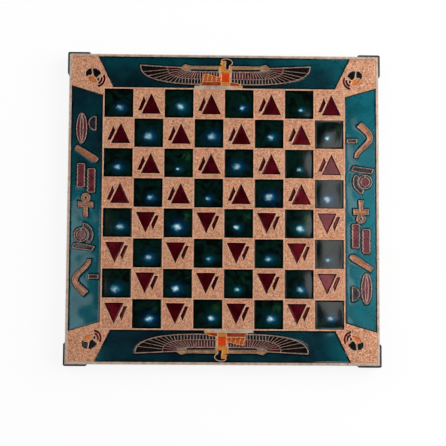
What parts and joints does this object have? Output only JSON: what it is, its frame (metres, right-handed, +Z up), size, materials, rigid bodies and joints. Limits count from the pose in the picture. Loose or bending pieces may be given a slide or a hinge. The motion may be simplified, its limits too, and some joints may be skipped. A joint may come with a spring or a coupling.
{
  "type": "chess board",
  "caption": "Flat square relief chess board: copper-toned cast face with enamel-filled squares, triangles and ornamented border panels, on black corner feet.",
  "frame": {"origin": "on the resting plane under the feet, below the centre of the board", "axes": "+Z up out of the playing face, +Y towards the top edge of the pictured board (north), +X to its right"},
  "size_m": [0.364, 0.364, 0.026],
  "materials": {
    "copper_relief": "copper-plated casting, smooth rim and hammered ground",
    "core_wood": "plain fibre board",
    "felt": "matt green felt",
    "black_plastic": "fine moulded grain",
    "screw_steel": "zinc plated",
    "teal_enamel": "glossy cold enamel",
    "dark_resin": "glossy pearly resin",
    "red_enamel": "glossy cold enamel",
    "feather_red": "glossy cold enamel",
    "feather_black": "glossy cold enamel",
    "gold_enamel": "glossy cold enamel",
    "black_enamel": "glossy cold enamel",
    "orange_enamel": "glossy cold enamel"
  },
  "bodies": {
    "root": {"relief_plate": "copper_relief", "base_panel": "core_wood", "backing_felt": "felt", "corner_foot_ne": "black_plastic", "corner_foot_nw": "black_plastic", "corner_foot_sw": "black_plastic", "corner_foot_se": "black_plastic", "foot_screws": "screw_steel", "border_enamel_north": "teal_enamel", "border_enamel_west": "teal_enamel", "border_enamel_south": "teal_enamel", "border_enamel_east": "teal_enamel", "dark_square_r1c1": "dark_resin", "dark_square_r1c3": "dark_resin", "dark_square_r1c5": "dark_resin", "dark_square_r1c7": "dark_resin", "dark_square_r2c2": "dark_resin", "dark_square_r2c4": "dark_resin", "dark_square_r2c6": "dark_resin", "dark_square_r2c8": "dark_resin", "dark_square_r3c1": "dark_resin", "dark_square_r3c3": "dark_resin", "dark_square_r3c5": "dark_resin", "dark_square_r3c7": "dark_resin", "dark_square_r4c2": "dark_resin", "dark_square_r4c4": "dark_resin", "dark_square_r4c6": "dark_resin", "dark_square_r4c8": "dark_resin", "dark_square_r5c1": "dark_resin", "dark_square_r5c3": "dark_resin", "dark_square_r5c5": "dark_resin", "dark_square_r5c7": "dark_resin", "dark_square_r6c2": "dark_resin", "dark_square_r6c4": "dark_resin", "dark_square_r6c6": "dark_resin", "dark_square_r6c8": "dark_resin", "dark_square_r7c1": "dark_resin", "dark_square_r7c3": "dark_resin", "dark_square_r7c5": "dark_resin", "dark_square_r7c7": "dark_resin", "dark_square_r8c2": "dark_resin", "dark_square_r8c4": "dark_resin", "dark_square_r8c6": "dark_resin", "dark_square_r8c8": "dark_resin", "large_triangles": "red_enamel", "small_triangles": "red_enamel", "corner_collars": "red_enamel", "side_red": "red_enamel", "figure_skirt": "red_enamel", "inner_feathers_north": "feather_red", "inner_feathers_south": "feather_red", "outer_feathers_north": "feather_black", "outer_feathers_south": "feather_black", "figure_skin": "gold_enamel", "side_gold": "gold_enamel", "corner_faces": "gold_enamel", "figure_hair": "black_enamel", "corner_hair": "black_enamel", "side_dark": "black_enamel", "figure_dress": "orange_enamel"}
  },
  "joints": []
}
